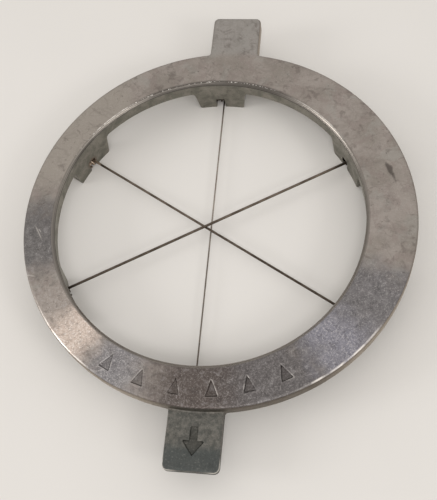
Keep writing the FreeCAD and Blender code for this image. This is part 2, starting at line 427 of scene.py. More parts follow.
def ledge_loops(upper, upper_out, lower, lower_out):
    """Loops down to the front tab's ledge, out over it and round its edge. It has no width elsewhere."""
    width = np.linalg.norm(lower - upper, axis=1)
    root = np.minimum(LEDGE_ROOT_ROUND, width / 3)[:, None]
    edge = np.minimum(LEDGE_EDGE_ROUND, width / 3)[:, None]
    for turn in ROUND_TURNS:
        points = upper + root * (1 - math.cos(turn)) * upper_out
        yield at_height(points, LEDGE + root[:, 0] * (1 - math.sin(turn)))
    start, end = upper + root * upper_out, lower - edge * lower_out
    for share in np.linspace(0, 1, LEDGE_ROWS)[1:]:
        points = start + share * (end - start)
        relief = ledge_relief(points) * smooth_step(min(share, 1 - share) / LEDGE_FADE)
        yield at_height(points, LEDGE + np.where(width > LEDGE_LEAST_WIDTH, relief, 0))
    for turn in ROUND_TURNS[1:]:
        points = lower - edge * (1 - math.sin(turn)) * lower_out
        yield at_height(points, LEDGE - edge[:, 0] * (1 - math.cos(turn)))


def under_loops(ray, lower, lower_out):
    """Loops round the lower edge, in below the plate, and up the bore and its chamfer."""
    for turn in ROUND_TURNS[:-1]:
        points = lower - UNDER_EDGE_ROUND * (1 - math.cos(turn)) * lower_out
        yield at_height(points, UNDERSIDE + UNDER_EDGE_ROUND * (1 - math.sin(turn)))
    start, end = lower - UNDER_EDGE_ROUND * lower_out, HOLE + bore_radius(UNDERSIDE) * ray
    for share in np.linspace(0, 1, UNDER_ROWS):
        yield at_height(start + share * (end - start), UNDERSIDE)
    for height in np.linspace(UNDERSIDE, TOP + CHAMFER[0][1], BORE_ROWS)[1:]:
        yield at_height(HOLE + bore_radius(height) * ray, height)
    for out, up in CHAMFER[1:-1]:
        yield at_height(HOLE + (HOLE_RADIUS + out) * ray, TOP + up - TOP_WAVE)


def plate_loops():
    """Closed loops over the plate's skin, with points on the same rays from the hole's middle."""
    lower, on_front = plan_outline()
    upper = np.where(on_front[:, None], on_rim(lower), lower)
    lower_out, upper_out = outline_normals(lower), outline_normals(upper)
    ray = (lower - HOLE) / np.linalg.norm(lower - HOLE, axis=1)[:, None]
    return [
        *top_loops(ray, upper, upper_out),
        *ledge_loops(upper, upper_out, lower, lower_out),
        *under_loops(ray, lower, lower_out),
    ]


def loops_object(name, loops):
    """A closed skin through loops of as many points each, the last joined to the first."""
    count = len(loops[0])
    rows = np.arange(len(loops))
    here = (rows[:, None] * count + np.arange(count)).ravel()
    after = (rows[:, None] * count + np.roll(np.arange(count), -1)).ravel()
    total = len(loops) * count
    faces = np.column_stack((here, (here + count) % total, (after + count) % total, after))
    made = make_object(name, np.vstack(loops), faces.tolist())
    work = bmesh.new()
    work.from_mesh(made.data)
    bmesh.ops.remove_doubles(work, verts=work.verts, dist=MERGE_DISTANCE * MM)
    bmesh.ops.dissolve_degenerate(work, dist=SHORTEST_EDGE * MM, edges=work.edges)
    work.to_mesh(made.data)
    work.free()
    return made


def lug_profile(slot_side):
    """The lower edge of a lug, from right to left, as points of side and height."""
    slot = SLOT_WIDTH / 2
    fillet, nose, lip = LUG_ROOT_FILLET, LUG_TIP_ROUND, SLOT_EDGE_ROUND
    lean = math.atan2(LUG_ROOT_WIDTH / 2 - LUG_TIP_WIDTH / 2, UNDERSIDE)
    fillet_side = lug_half_width(UNDERSIDE - fillet) + fillet / math.cos(lean)
    fillet_level = UNDERSIDE - fillet + SEAM_SINK
    nose_side = lug_half_width(nose) - nose / math.cos(lean)
    wall_lean = math.atan2(SLOT_DRAFT, SLOT_HEIGHT)
    half_slot = np.vstack(((0, SLOT_HEIGHT), joined(
        arc((slot - SLOT_DRAFT - lip, SLOT_HEIGHT - lip), lip, math.pi / 2, wall_lean, MEDIUM / 3),
        arc((slot + lip, lip), lip, math.pi + wall_lean, 1.5 * math.pi, MEDIUM / 3),
    )))
    end = joined(
        arc((nose_side, nose), nose, -math.pi / 2, -lean, MEDIUM / 2),
        arc((fillet_side, fillet_level), fillet, math.pi - lean, math.pi / 2, MEDIUM / 2),
    )
    halves = []
    for hand in (-1, 1):
        near = half_slot * (hand, 1) + (slot_side, 0)
        far = end * (hand, 1) + (LUG_SHIFT, 0)
        halves.append(joined(near, line(near[-1], far[0], COARSE), far))
    right, left = halves
    return joined(right[::-1], left)


def lug_object(held):
    """One lug as a closed skin that reaches up into the plate."""
    side, foot = lug_profile(held.slot_side).T
    outer = np.sqrt((HOLE_RADIUS + LUG_THICKNESS) ** 2 - side ** 2)

    def inner(height):
        return np.sqrt((bore_radius(height) + SEAM_SINK) ** 2 - side ** 2)

    rows = []
    for share in np.linspace(0, 1, LUG_FOOT_ROWS):
        rows.append((inner(foot) + share * (outer - inner(foot)), foot))
    heights = [foot + share * (UNDERSIDE + LUG_INTO_PLATE - foot) for share in np.linspace(0, 1, LUG_ROWS)]
    rows += [(outer, height) for height in heights[1:]]
    rows += [(inner(height), height) for height in reversed(heights[1:])]
    points = [outward(held.bearing, np.column_stack((out, side, height))) for out, height in rows]
    return rings_object(f"lug_{held.pin}", np.stack(points, axis=1))


def rings_object(name, rings):
    """A skin through rings of as many points each, closed by a face at both ends and turned outwards."""
    sides = len(rings[0])
    faces = []
    for row in range(len(rings) - 1):
        here, above = row * sides, (row + 1) * sides
        for index in range(sides):
            after = (index + 1) % sides
            faces.append((here + index, here + after, above + after, above + index))
    last = (len(rings) - 1) * sides
    faces.append(list(range(sides))[::-1])
    faces.append([last + index for index in range(sides)])
    made = make_object(name, np.vstack(rings), faces)
    work = bmesh.new()
    work.from_mesh(made.data)
    bmesh.ops.recalc_face_normals(work, faces=work.faces)
    work.to_mesh(made.data)
    work.free()
    return made


def lathe(name, held, profile, sides):
    """A turned piece on the axis of an anchor's pin, from points of place along it and radius."""
    angles = np.linspace(0, 2 * math.pi, sides, endpoint=False)
    rings = []
    for along, radius in profile:
        ring = np.column_stack((
            PIN_DISTANCE + radius * np.cos(angles),
            np.full(sides, LUG_SHIFT + along),
            held.pin_level + radius * np.sin(angles),
        ))
        rings.append(outward(held.bearing, ring))
    return rings_object(name, rings)


def combine(target, tool, operation):
    """Adds a tool to a piece or cuts it away, and deletes the tool."""
    step = target.modifiers.new(operation.lower(), "BOOLEAN")
    step.object = tool
    step.operation = operation
    step.solver = "MANIFOLD"
    shape = bpy.data.meshes.new_from_object(target.evaluated_get(bpy.context.evaluated_depsgraph_get()))
    target.modifiers.clear()
    old = target.data
    target.data = shape
    bpy.data.meshes.remove(old)
    bpy.data.objects.remove(tool)


def ring_casting():
    """The whole casting: plate with tabs, lugs, slots and pin holes."""
    casting = loops_object("ring_casting", plate_loops())
    for held in ANCHORS:
        combine(casting, lug_object(held), "UNION")
    bore = ((-LUG_ROOT_WIDTH, PIN_HOLE_RADIUS), (LUG_ROOT_WIDTH, PIN_HOLE_RADIUS))
    for held in ANCHORS:
        combine(casting, lathe("pin_bore", held, bore, PIN_HOLE_SIDES), "DIFFERENCE")
    return casting


def cross_pin(held):
    """A cut steel pin with slightly uneven sides and blunt ends."""
    half = lug_half_width(held.pin_level) - PIN_INSET
    body = np.linspace(-half + PIN_BLUNT, half - PIN_BLUNT, PIN_ROWS)
    uneven = PIN_WAVE * np.sin(PIN_WAVES_PER_MM * body + held.bearing) - PIN_WAVE
    end = [
        (-half, PIN_END_MIDDLE),
        (-half, PIN_RADIUS - PIN_BLUNT),
        (-half + PIN_CORNER, PIN_RADIUS - PIN_CORNER),
    ]
    other_end = [(-along, radius) for along, radius in reversed(end)]
    profile = [*end, *zip(body, PIN_RADIUS + uneven), *other_end]
    return lathe(f"{held.pin.removesuffix('_pin')}_cross_pin", held, profile, PIN_SIDES)


def winding_path(held):
    """The middle line of a wire on its pin, from where it meets the pin to its cut end."""
    wire = held.wire
    turn = np.linspace(0, 2 * math.pi * WINDING_TURNS, WINDING_ROWS)
    share = turn / turn[-1]
    eased = share * share * (2 - share)
    advance = SLOT_WIDTH - 2 * SLOT_SIDE_GAP - wire.diameter
    radius = winding_radius(wire)
    up = radius if wire.over else -radius
    return outward(held.bearing, np.column_stack((
        PIN_DISTANCE + radius * np.sin(turn),
        held.wire_side + advance * eased,
        held.pin_level + up * np.cos(turn),
    )))


def tube(name, path, radius, sides):
    """A round tube along a path, with blunt ends."""
    run = np.gradient(path, axis=0)
    run /= np.linalg.norm(run, axis=1)[:, None]
    across = np.cross(run[0], (0.0, 0.0, 1.0))
    angles = np.linspace(0, 2 * math.pi, sides, endpoint=False)
    radii = np.full(len(path), radius)
    radii[0] = radii[-1] = WIRE_END_TAPER * radius
    rings = []
    for point, along, size in zip(path, run, radii):
        across = across - (across @ along) * along
        across /= np.linalg.norm(across)
        other = np.cross(along, across)
        rings.append(point + size * (np.outer(np.cos(angles), across) + np.outer(np.sin(angles), other)))
    return rings_object(name, rings)


def cutting_wire(wire):
    """A tight wire with a winding at each end."""
    far, near = (winding_path(held) for held in ANCHORS if held.wire is wire)
    run = np.linspace(near[0], far[0], WIRE_ROWS)[1:-1]
    path = np.vstack((near[::-1], run, far))
    return tube(f"{wire.name.removesuffix('_wire')}_cutting_wire", path, wire.diameter / 2, WIRE_SIDES)


def linear(red, green, blue):
    """A colour from 0 to 255 as it looks, as a shader colour."""
    shares = (value / 255 for value in (red, green, blue))
    return (*(s / 12.92 if s <= 0.04045 else ((s + 0.055) / 1.055) ** 2.4 for s in shares), 1.0)


# Sockets of the colour mixing node: its share, the colour below and the one above, and its result
MIX_INPUTS = (0, 6, 7)
MIX_OUTPUT = 2


class Finish:
    """A procedural material, with short ways to add its nodes."""

    def __init__(self, name, metallic, roughness):
        self.material = bpy.data.materials.new(name)
        self.material.use_nodes = True
        self.tree = self.material.node_tree
        self.shader = self.tree.nodes["Principled BSDF"]
        self.feed(self.shader, {"Metallic": metallic, "Roughness": roughness})
        scaled = self.add("ShaderNodeVectorMath", operation="SCALE")
        self.put(scaled.inputs[0], self.add("ShaderNodeTexCoord").outputs["Object"])
        self.put(scaled.inputs["Scale"], 1 / MM)
        self.place = scaled.outputs[0]
        split = self.add("ShaderNodeSeparateXYZ")
        self.put(split.inputs[0], self.place)
        self.x, self.y, self.z = split.outputs
        self.colour = None

    def add(self, kind, **settings):
        """A new node with some settings."""
        node = self.tree.nodes.new(kind)
        for name, value in settings.items():
            setattr(node, name, value)
        return node

    def put(self, socket, value):
        """Feeds a socket from another socket or with a constant."""
        if isinstance(value, bpy.types.NodeSocket):
            self.tree.links.new(value, socket)
        else:
            socket.default_value = value

    def feed(self, node, values):
        """Feeds some of a node's sockets by name."""
        for name, value in values.items():
            self.put(node.inputs[name], value)

    def calc(self, operation, *values):
        """A number worked out from others."""
        node = self.add("ShaderNodeMath", operation=operation)
        for socket, value in zip(node.inputs, values):
            self.put(socket, value)
        return node.outputs[0]

    def times(self, first, *others):
        """The product of some numbers."""
        product = first
        for other in others:
            product = self.calc("MULTIPLY", product, other)
        return product

    def vector(self, operation, other):
        """A number worked out from the place on the piece and another vector."""
        node = self.add("ShaderNodeVectorMath", operation=operation)
        self.put(node.inputs[0], self.place)
        node.inputs[1].default_value = other
        return node.outputs["Value"]

    def ramp(self, value, start, end, low=0.0, high=1.0):
        """A smooth step from low to high as the value goes from start to end."""
        node = self.add("ShaderNodeMapRange", interpolation_type="SMOOTHSTEP")
        self.feed(node, {"Value": value, "From Min": start, "From Max": end, "To Min": low, "To Max": high})
        return node.outputs["Result"]

    def between(self, value, rise, fall):
        """A mask that grows over one stretch of the value and fades over another."""
        return self.times(self.ramp(value, *rise), self.ramp(value, *fall))

    def noise(self, size, detail=3.0, rough=0.5, stretch=None, bearing=0.0, warp=0.0):
        """Noise with features of about that many millimetres, stretched along a bearing if asked."""
        node = self.add("ShaderNodeTexNoise")
        self.feed(node, {"Scale": 1 / size, "Detail": detail, "Roughness": rough, "Distortion": warp})
        place = self.place
        if stretch:
            turn = self.add("ShaderNodeMapping")
            self.feed(turn, {"Vector": place, "Rotation": (0, 0, math.radians(-bearing))})
            shrink = self.add("ShaderNodeMapping")
            self.feed(shrink, {"Vector": turn.outputs[0], "Scale": (1 / stretch, 1, 1)})
            place = shrink.outputs[0]
        self.put(node.inputs["Vector"], place)
        return node.outputs[0]

    def mix(self, share, under, over):
        """A colour with a share of another laid over it."""
        node = self.add("ShaderNodeMix", data_type="RGBA")
        for index, value in zip(MIX_INPUTS, (share, under, over)):
            self.put(node.inputs[index], value)
        return node.outputs[MIX_OUTPUT]

    def lay(self, share, over):
        """Lays a share of another colour over the material's."""
        self.colour = self.mix(share, self.colour, over)

    def bump(self, height, depth, before=None):
        """A bump of that many millimetres from bottom to top."""
        node = self.add("ShaderNodeBump")
        self.feed(node, {"Distance": depth * MM, "Height": height})
        if before is not None:
            self.put(node.inputs["Normal"], before)
        return node.outputs[0]

    def bearing_zone(self, start, end, soft, wander=0.0):
        """A mask that is 1 between two bearings and fades over so many degrees. Its border may wander."""
        across = self.calc("SUBTRACT", self.y, HOLE[1])
        ahead = self.calc("SUBTRACT", self.x, HOLE[0])
        away = self.calc("SUBTRACT", self.calc("ARCTAN2", across, ahead), math.radians((start + end) / 2))
        away = self.calc("ABSOLUTE", self.calc("WRAP", away, math.pi, -math.pi))
        if wander:
            reach = math.radians(wander)
            shift = self.calc("MULTIPLY_ADD", self.noise(WANDER_SIZE), 2 * reach, -reach)
            away = self.calc("ADD", away, shift)
        half, fade = math.radians((end - start) / 2), math.radians(soft)
        return self.ramp(away, half + fade, half - fade)

    def distance_from(self, axis):
        """Distance from an upright axis."""
        across = self.calc("SUBTRACT", self.x, axis[0])
        along = self.calc("SUBTRACT", self.y, axis[1])
        squares = self.calc("ADD", self.calc("POWER", across, 2.0), self.calc("POWER", along, 2.0))
        return self.calc("SQRT", squares)

    def near(self, place, reach):
        """A mask that grows from 0 to 1 between two distances from a place."""
        return self.ramp(self.vector("DISTANCE", place), *reach)

    def on_line(self, start, end, half_width):
        """A mask that is 1 along the middle of a straight scratch and tapers to its ends."""
        start, end = Vector(start), Vector(end)
        run = end - start
        length = run.length
        run.normalize()
        aside = Vector((-run.y, run.x))
        along = self.calc("SUBTRACT", self.vector("DOT_PRODUCT", (*run, 0)), run.dot(start))
        across = self.calc("SUBTRACT", self.vector("DOT_PRODUCT", (*aside, 0)), aside.dot(start))
        narrow = self.ramp(self.calc("ABSOLUTE", across), 2 * half_width, 0.5 * half_width)
        return self.times(narrow, self.between(along, (0, 0.3 * length), (length, 0.7 * length)))

    def finish(self, normal, roughness=None):
        """The material, with its colour, bumps and roughness."""
        self.feed(self.shader, {"Base Color": self.colour, "Normal": normal})
        if roughness is not None:
            self.put(self.shader.inputs["Roughness"], roughness)
        return self.material


# Tints on the top face, between bearings: stains, and in the last two a painted highlight with its fringe.
# Their colour, their soft border in degrees and how strongly the grain of the metal sparkles in them
Tint = namedtuple("Tint", "colour start end soft grain")
TINTS = (
    Tint(linear(161, 153, 144), 124, 171, 6, 0.08),
    Tint(linear(114, 111, 112), 304, 344, 6, 0.24),
    Tint(linear(99, 95, 95), 276, 307, 7, 0.2),
    Tint(linear(138, 136, 145), 310, 323, 7, 0.46),
    Tint(linear(134, 131, 133), 238, 254, 7, 0.46),
    Tint(linear(90, 81, 77), 259, 283, 8, 0.2),
    Tint(linear(110, 107, 106), 178, 203, 6, 0.16),
    # The last two are painted: the lighter fringe of a highlight, then the bright, sparkling highlight itself
    Tint(linear(166, 156, 148), 213, 222, 6, 0.25),
    Tint(linear(216, 197, 183), 222, 236, 5, 0.95),
)
TINT_STRENGTH = 0.92
PLAIN_GRAIN = 0.08
WANDER_SIZE = 4.0

# Zones on the ground face, between bearings: its rubbed front, painted highlights on its outer edge, and on
# the hole's edge painted glints, painted highlights, painted shade at the back and painted shade lower down
RUBBED_FRONT = (184, 343)
RIM_HIGHLIGHT_ZONES = ((217, 241), (303, 326))
SPARKLING_EDGE = (72, 150)
HIGHLIGHT_EDGES = ((38, 58), (128, 142))
SHADED_BACK_EDGE = (62, 122)
SHADED_LOW_EDGES = ((30, 58), (128, 160))
# Bearings and widths of the strokes left by grinding, and the step of the tool lines on the chamfer
GRINDING_STROKES = ((-24, 0.3), (41, 0.26), (84, 0.32))
TURNING_STEP = 0.28

# Where the ground face's layers start and end, as distances from the hole's middle
CHAMFER_FADE = (HOLE_RADIUS + 0.85, HOLE_RADIUS + 0.7)
LIP_RISE = (HOLE_RADIUS + 0.66, HOLE_RADIUS + 0.78)
LIP_FALL = (HOLE_RADIUS + 1.0, HOLE_RADIUS + 0.86)
LOW_EDGE = (HOLE_RADIUS + 0.5, HOLE_RADIUS + 0.25)
BACK_SHADE_REACH = (HOLE_RADIUS + 1.6, HOLE_RADIUS + 0.85)
# As distances from the rim's axis
RIM_LIP = (RIM_RADIUS - 0.7, RIM_RADIUS - 0.4)
MARKED_BAND = (RIM_RADIUS - 0.8, RIM_RADIUS - 1.0)
# As heights, and towards the back tab
CHAMFER_FOOT = (TOP - 0.52, TOP - 0.64)
MARK_WALL = (TOP - 0.05, TOP - 0.18)
MARK_FLOOR = (TOP - 0.25, TOP - 0.31)
BURR = (TOP, TOP + 0.04)
BACK_TAB_START = (RIM_BACK - 2, RIM_BACK + 1)

# Colours of the ground face
GROUND_DARK = linear(146, 138, 130)
GROUND_LIGHT = linear(162, 153, 146)
GROUND_BROWN = linear(144, 132, 126)
GROUND_GREY = linear(159, 155, 148)
BACK_TAB_METAL = linear(158, 154, 149)
SPOT_DIRT = linear(108, 99, 93)
TIDE_DIRT = linear(104, 98, 91)
SPECK_DIRT = linear(88, 82, 77)
PATCH_DARK = linear(62, 58, 59)
PATCH_LIGHT = linear(182, 177, 177)
# painted glints on the grain of the metal
GRAIN_GLINT = linear(254, 248, 242)
GRAIN_DARK = linear(50, 46, 45)
STROKE_METAL = linear(216, 209, 205)
# a darker line along the hole's lip
LIP_DARK_LINE = linear(84, 78, 73)
CHAMFER_METAL = linear(152, 145, 137)
TOOL_LINE_DIRT = linear(84, 79, 74)
# darker towards the foot of the chamfer
CHAMFER_FOOT_DARK = linear(72, 68, 62)
# painted shade on the lower part of the chamfer
LOW_EDGE_SHADE = linear(60, 56, 52)
# painted shade on the chamfer at the back
BACK_EDGE_SHADE = linear(56, 53, 50)
# painted highlight along the hole's lip
EDGE_HIGHLIGHT = linear(246, 240, 232)
GLINT_METAL = linear(250, 245, 238)
# painted highlight along the outer edge
RIM_EDGE_HIGHLIGHT = linear(224, 217, 210)
# painted shade in the stamped marks and the gouge, darkest on their walls
MARK_WALL_SHADE = linear(62, 56, 52)
# painted highlight on the raised burrs
BURR_HIGHLIGHT = linear(214, 207, 201)
SCRATCH_METAL = linear(204, 197, 190)


def ground_clouds(f, blotch):
    """Soft clouds of brown and grey, and a greyer back tab."""
    f.colour = f.mix(f.ramp(blotch, 0.35, 0.65), GROUND_DARK, GROUND_LIGHT)
    brown = f.ramp(f.noise(4.0, 4, 0.65, warp=0.6), 0.48, 0.62, 0, 0.5)
    f.lay(brown, GROUND_BROWN)
    grey = f.ramp(f.noise(6.0, 3, 0.6, warp=0.6), 0.52, 0.66, 0, 0.5)
    f.lay(grey, GROUND_GREY)
    f.lay(f.ramp(f.y, *BACK_TAB_START, 0, 0.7), BACK_TAB_METAL)


def ground_tints(f):
    """Stains and a painted highlight, and how strongly the grain sparkles in each."""
    lively = PLAIN_GRAIN
    for tint in TINTS:
        zone = f.bearing_zone(tint.start, tint.end, tint.soft, tint.soft)
        f.lay(f.times(zone, TINT_STRENGTH), tint.colour)
        lively = f.calc("MAXIMUM", lively, f.times(zone, tint.grain))
    return lively


def ground_dirt(f, worn):
    """Spots and tide lines where the face isn't worn, and specks."""
    dirty = f.calc("SUBTRACT", 1.0, worn)
    spot = f.ramp(f.noise(2.6, 3, 0.6, warp=0.8), 0.54, 0.7, 0, 0.5)
    f.lay(f.times(spot, dirty), SPOT_DIRT)
    off_line = f.calc("ABSOLUTE", f.calc("SUBTRACT", f.noise(5.0, 2, 0.5, warp=0.5), 0.55))
    tide = f.ramp(off_line, 0.05, 0.0, 0, 0.16)
    f.lay(f.times(tide, dirty), TIDE_DIRT)
    speck = f.ramp(f.noise(0.9, 2, 0.5), 0.66, 0.74)
    crowd = f.ramp(f.noise(12.0), 0.45, 0.6, 0, 0.6)
    f.lay(f.times(speck, crowd), SPECK_DIRT)


def ground_grain(f, worn, grain, lively):
    """Patches and grinding strokes where the face is worn, and the grain: darker specks and painted glints.
    """
    patch = f.noise(1.5, 4, 0.75, warp=0.6)
    darker = f.times(f.ramp(patch, 0.5, 0.66, 0, 0.34), worn)
    f.lay(darker, PATCH_DARK)
    lighter = f.times(f.ramp(patch, 0.48, 0.34, 0, 0.24), worn)
    f.lay(lighter, PATCH_LIGHT)
    # Painted glints on the grain
    bright = f.times(f.ramp(grain, 0.5, 0.68), lively)
    f.lay(bright, GRAIN_GLINT)
    darkening = f.times(f.ramp(grain, 0.5, 0.3), f.calc("MINIMUM", lively, 0.36))
    f.lay(darkening, GRAIN_DARK)
    for bearing, width in GRINDING_STROKES:
        stroke = f.ramp(f.noise(width, 2, 0.5, stretch=4, bearing=bearing), 0.64, 0.76, 0, 0.12)
        f.lay(f.times(stroke, worn), STROKE_METAL)


def hole_edge(f, chamfer):
    """The chamfer round the hole, with tool lines, darker at its lip and foot, painted shade low down and at
    the back, and painted highlights and glints along its lip.
    """
    from_hole = f.distance_from(HOLE)
    lip = f.between(from_hole, LIP_RISE, LIP_FALL)
    f.lay(f.times(lip, 0.5), LIP_DARK_LINE)
    f.lay(f.times(chamfer, 0.75), CHAMFER_METAL)
    turned = f.calc("SINE", f.calc("MULTIPLY_ADD", from_hole, 2 * math.pi / TURNING_STEP, f.noise(6.0)))
    f.lay(f.times(f.ramp(turned, -0.2, 0.9, 0, 0.5), chamfer), TOOL_LINE_DIRT)
    f.lay(f.times(chamfer, f.ramp(f.z, *CHAMFER_FOOT, 0, 0.7)), CHAMFER_FOOT_DARK)
    low = f.ramp(from_hole, *LOW_EDGE, 0, 0.7)
    # Painted shade over the lower chamfer
    for zone in SHADED_LOW_EDGES:
        f.lay(f.times(low, f.bearing_zone(*zone, 8)), LOW_EDGE_SHADE)
    # Painted shade on the chamfer at the back
    darkening = f.times(f.ramp(from_hole, *BACK_SHADE_REACH, 0, 0.6), f.bearing_zone(*SHADED_BACK_EDGE, 10))
    f.lay(darkening, BACK_EDGE_SHADE)
    # Painted highlights along the lip
    for zone in HIGHLIGHT_EDGES:
        highlight = f.times(f.bearing_zone(*zone, 6), f.ramp(f.noise(0.7), 0.3, 0.6, 0.3, 0.9))
        f.lay(f.times(lip, highlight), EDGE_HIGHLIGHT)
    glint = f.times(f.bearing_zone(*SPARKLING_EDGE, 12), f.ramp(f.noise(0.5), 0.52, 0.6))
    f.lay(f.times(lip, glint), GLINT_METAL)


def rim_highlights(f):
    """A painted highlight along stretches of the outer edge."""
    lip = f.ramp(f.distance_from(RIM_AXIS), *RIM_LIP)
    # Painted highlights along the outer edge
    for zone in RIM_HIGHLIGHT_ZONES:
        bright_line = f.times(f.bearing_zone(*zone, 6), lip, f.ramp(f.noise(2.5), 0.25, 0.7))
        f.lay(bright_line, RIM_EDGE_HIGHLIGHT)


def marks_and_scratches(f, chamfer):
    """Painted shade in the stamped marks and the gouge, darkest on their walls, painted highlights on the
    burrs, and bright scratches.
    """
    # Painted shade in the marks and the gouge
    shade_by_depth = f.calc("SUBTRACT", 0.66, f.ramp(f.z, *MARK_FLOOR, 0, 0.3))
    on_band = f.ramp(f.distance_from(RIM_AXIS), *MARKED_BAND)
    mark_shade = f.times(f.ramp(f.z, *MARK_WALL), shade_by_depth, on_band, f.calc("SUBTRACT", 1.0, chamfer))
    f.lay(mark_shade, MARK_WALL_SHADE)
    # Painted highlights on the burrs round the marks
    burr = f.times(f.ramp(f.z, *BURR), f.ramp(f.noise(1.8), 0.44, 0.62, 0.05, 0.6))
    f.lay(burr, BURR_HIGHLIGHT)
    for start, end in (*SCRATCHES, NICK):
        scratch = f.times(f.on_line(start, end, SCRATCH_HALF_WIDTH), 0.45)
        f.lay(scratch, SCRATCH_METAL)


def ground_metal():
    """The ground top face: stained light alloy, rubbed at the front, with a painted highlight and painted
    glints.
    """
    f = Finish("ground_metal", 1.0, 0.45)
    blotch = f.noise(9.0, 4, 0.6, warp=0.4)
    grain = f.noise(0.36, 4, 0.85)
    worn = f.bearing_zone(*RUBBED_FRONT, 6)
    chamfer = f.ramp(f.distance_from(HOLE), *CHAMFER_FADE)
    ground_clouds(f, blotch)
    lively = ground_tints(f)
    ground_dirt(f, worn)
    ground_grain(f, worn, grain, lively)
    hole_edge(f, chamfer)
    rim_highlights(f)
    marks_and_scratches(f, chamfer)
    normal = f.bump(f.noise(2.2, 3, 0.6), 0.02)
    normal = f.bump(grain, 0.02, normal)
    rough = f.calc("MULTIPLY_ADD", lively, -0.2, f.calc("MULTIPLY_ADD", blotch, 0.12, 0.46))
    rough = f.calc("MULTIPLY_ADD", chamfer, -0.2, rough)
    return f.finish(normal, rough)


# Marks on the cast skin: the bearings between which its outer wall is dark, the slots that get painted shade,
# and the place of the rust
DARK_WALL = (262, 312)
SHADED_SLOTS = ("back_pin", "right_back_pin")
RUST_PLACE = (-37.8, 19.95, 2.8)
# Distances from a place at which its wear starts and is full
RUST_REACH = (2.4, 0.9)
SLOT_SHADE_REACH = (2.4, 1.7)
TAB_CORNER_REACH = (4.0, 1.5)
BARE_WIRE_REACH = (2.6, 1.6)
BARE_PIN_REACH = (8.0, 6.0)

# Where the cast skin's layers start and end
WALL_START = (RIM_RADIUS - 1.2, RIM_RADIUS - 0.4)
WALL_TOP = (TOP - 1.3, TOP - 0.6)
BESIDE_TAB = (TAB_WIDTH / 2 - 2, TAB_WIDTH / 2 + 1)
FRONT_TAB_START = (RIM_FRONT + 1.0, RIM_FRONT - 0.5)
TAB_STAIN_START = (-55.5, -58.5)
TAB_STAIN_WANDER = 3.0
ARROW_WALL = (LEDGE - 0.07, LEDGE - 0.16)
TAB_SIDE = (TAB_WIDTH / 2 - 0.7, TAB_WIDTH / 2 - 0.3)
TAB_END = (ring_low[1] + 0.7, ring_low[1] + 0.3)
TAB_EDGE_RISE = (LEDGE - 0.05, LEDGE - 0.18)
TAB_EDGE_FALL = (LEDGE - 0.6, LEDGE - 0.4)
BEHIND_BORE = (HOLE_RADIUS + HOLE_DRAFT - 0.1, HOLE_RADIUS + HOLE_DRAFT + 0.2)

# Colours of the cast skin
CAST_DARK = linear(126, 124, 115)
CAST_LIGHT = linear(151, 147, 138)
WALL_METAL = linear(178, 165, 151)
# darker over the dark wall's bearings
WALL_ZONE_DARK = linear(98, 91, 83)
# darker towards the top of the wall
WALL_TOP_DARK = linear(92, 82, 74)
TAB_DARK = linear(88, 88, 84)
TAB_LIGHT = linear(117, 114, 108)
TAB_STAIN = linear(80, 84, 83)
# darker down in the stamped arrow
ARROW_DARK = linear(60, 60, 56)
# painted highlight on the front tab's edges and corners
TAB_EDGE_HIGHLIGHT = linear(222, 218, 210)
CAST_GRAIN_LIGHT = linear(168, 164, 156)
CAST_GRAIN_DARK = linear(62, 60, 56)
# painted shade inside some slots
SLOT_SHADE = linear(44, 40, 36)
RUST = linear(112, 78, 54)


def cast_wall(f):
    """The lighter outer wall, dark in one zone, and darker towards its top except at the tabs."""
    wall = f.ramp(f.distance_from(RIM_AXIS), *WALL_START, 0, 0.75)
    f.lay(wall, WALL_METAL)
    f.lay(f.times(wall, f.bearing_zone(*DARK_WALL, 8)), WALL_ZONE_DARK)
    upper = f.ramp(f.z, *WALL_TOP, 0, 0.45)
    beside_tab = f.ramp(f.calc("ABSOLUTE", f.x), *BESIDE_TAB)
    f.lay(f.times(wall, upper, beside_tab), WALL_TOP_DARK)


def front_tab_skin(f, blotch):
    """The front tab's skin: stained at its end, darker in the arrow, with painted highlights along its edges.
    """
    colour = f.mix(f.ramp(f.noise(1.4, 4, 0.7), 0.35, 0.65), TAB_DARK, TAB_LIGHT)
    far_end = f.ramp(f.calc("MULTIPLY_ADD", blotch, TAB_STAIN_WANDER, f.y), *TAB_STAIN_START, 0, 0.9)
    colour = f.mix(far_end, colour, TAB_STAIN)
    colour = f.mix(f.ramp(f.z, *ARROW_WALL, 0, 0.6), colour, ARROW_DARK)
    at_side = f.ramp(f.calc("ABSOLUTE", f.x), *TAB_SIDE)
    at_end = f.ramp(f.y, *TAB_END)
    edge = f.times(f.calc("MAXIMUM", at_side, at_end), f.between(f.z, TAB_EDGE_RISE, TAB_EDGE_FALL))
    corners = [f.near((side * TAB_WIDTH / 2, ring_low[1], LEDGE), TAB_CORNER_REACH) for side in (-1, 1)]
    # Painted highlights along the tab's edges, strongest at its corners
    highlight = f.times(edge, f.calc("MULTIPLY_ADD", f.calc("MAXIMUM", *corners), 0.7, 0.2))
    return f.mix(highlight, colour, TAB_EDGE_HIGHLIGHT)


def slot_shade_and_rust(f):
    """Painted shade in some slots, and rust by one."""
    in_slot = f.ramp(f.distance_from(HOLE), *BEHIND_BORE)
    # Painted shade in some slots
    for held in ANCHORS:
        if held.pin in SHADED_SLOTS:
            middle = outward(held.bearing, [(PIN_DISTANCE, held.slot_side, held.pin_level)])[0]
            f.lay(f.times(f.near(middle, SLOT_SHADE_REACH), in_slot), SLOT_SHADE)
    rust = f.times(f.near(RUST_PLACE, RUST_REACH), f.ramp(f.noise(0.8, 3, 0.6), 0.3, 0.6, 0.2, 0.8))
    f.lay(rust, RUST)


